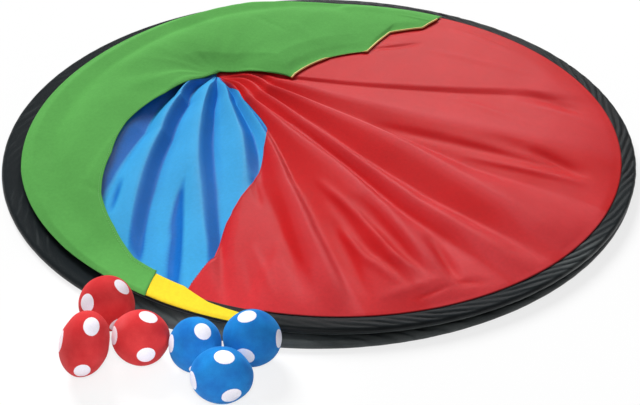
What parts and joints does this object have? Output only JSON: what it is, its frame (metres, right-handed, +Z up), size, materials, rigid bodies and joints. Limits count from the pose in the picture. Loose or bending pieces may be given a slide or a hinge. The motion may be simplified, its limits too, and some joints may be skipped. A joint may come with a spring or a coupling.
{
  "type": "play parachute",
  "caption": "Play parachute of covered spring rims joined by a cloth tube drawn together at a neck in coloured folds, with soft spotted balls lying beside it.",
  "frame": {"origin": "on the floor, under the middle of the bounding box of the rims and balls together", "axes": "+Z up, +Y away from the balls, +X to the right as seen from the balls"},
  "size_m": [0.84, 0.9456, 0.0716],
  "materials": {
    "rim_cloth": "matte woven",
    "spring_steel": "bright drawn",
    "red_cloth": "soft woven",
    "blue_cloth": "soft woven",
    "green_cloth": "soft woven",
    "yellow_cloth": "soft woven",
    "hem_cloth": "soft woven",
    "neck_cord": "matte braided",
    "red_ball_cloth": "soft printed jersey",
    "blue_ball_cloth": "soft printed jersey",
    "ball_fibre": "loose fibre"
  },
  "bodies": {
    "lower_ring": {"lower_rim_sleeve": "rim_cloth", "lower_rim_hoop": "spring_steel", "lower_rim_ferrule": "spring_steel", "lower_skirt": "yellow_cloth"},
    "neck": {"neck_cord": "neck_cord"},
    "upper_ring": {"upper_rim_sleeve": "rim_cloth", "upper_rim_hoop": "spring_steel", "upper_rim_ferrule": "spring_steel", "red_panel": "red_cloth", "blue_panel": "blue_cloth", "green_flap": "green_cloth", "flap_hem": "hem_cloth", "yellow_strip": "yellow_cloth"},
    "red_ball_back": {"red_ball_back_cover": "red_ball_cloth", "red_ball_back_filling": "ball_fibre"},
    "red_ball_front": {"red_ball_front_cover": "red_ball_cloth", "red_ball_front_filling": "ball_fibre"},
    "red_ball_right": {"red_ball_right_cover": "red_ball_cloth", "red_ball_right_filling": "ball_fibre"},
    "blue_ball_left": {"blue_ball_left_cover": "blue_ball_cloth", "blue_ball_left_filling": "ball_fibre"},
    "blue_ball_right": {"blue_ball_right_cover": "blue_ball_cloth", "blue_ball_right_filling": "ball_fibre"},
    "blue_ball_front": {"blue_ball_front_cover": "blue_ball_cloth", "blue_ball_front_filling": "ball_fibre"}
  },
  "joints": [
    {"name": "ring_turn", "type": "hinge", "parent": "lower_ring", "child": "neck", "pos_m": [0.02, 0.04476, 0.0153], "axis": [0, 0, 1], "range_deg": [-90, 90], "deforming": ["lower_skirt"]},
    {"name": "ring_lift", "type": "slide", "parent": "neck", "child": "upper_ring", "axis": [0, 0, 1], "range_m": [0, 0.2], "deforming": ["red_panel", "blue_panel", "green_flap", "flap_hem"]},
    {"name": "red_ball_back_lift", "type": "slide", "parent": "lower_ring", "child": "red_ball_back", "axis": [0, 0, 1], "range_m": [0, 0.3]},
    {"name": "red_ball_front_lift", "type": "slide", "parent": "lower_ring", "child": "red_ball_front", "axis": [0, 0, 1], "range_m": [0, 0.3]},
    {"name": "red_ball_right_lift", "type": "slide", "parent": "lower_ring", "child": "red_ball_right", "axis": [0, 0, 1], "range_m": [0, 0.3]},
    {"name": "blue_ball_left_lift", "type": "slide", "parent": "lower_ring", "child": "blue_ball_left", "axis": [0, 0, 1], "range_m": [0, 0.3]},
    {"name": "blue_ball_right_lift", "type": "slide", "parent": "lower_ring", "child": "blue_ball_right", "axis": [0, 0, 1], "range_m": [0, 0.3]},
    {"name": "blue_ball_front_lift", "type": "slide", "parent": "lower_ring", "child": "blue_ball_front", "axis": [0, 0, 1], "range_m": [0, 0.3]}
  ]
}
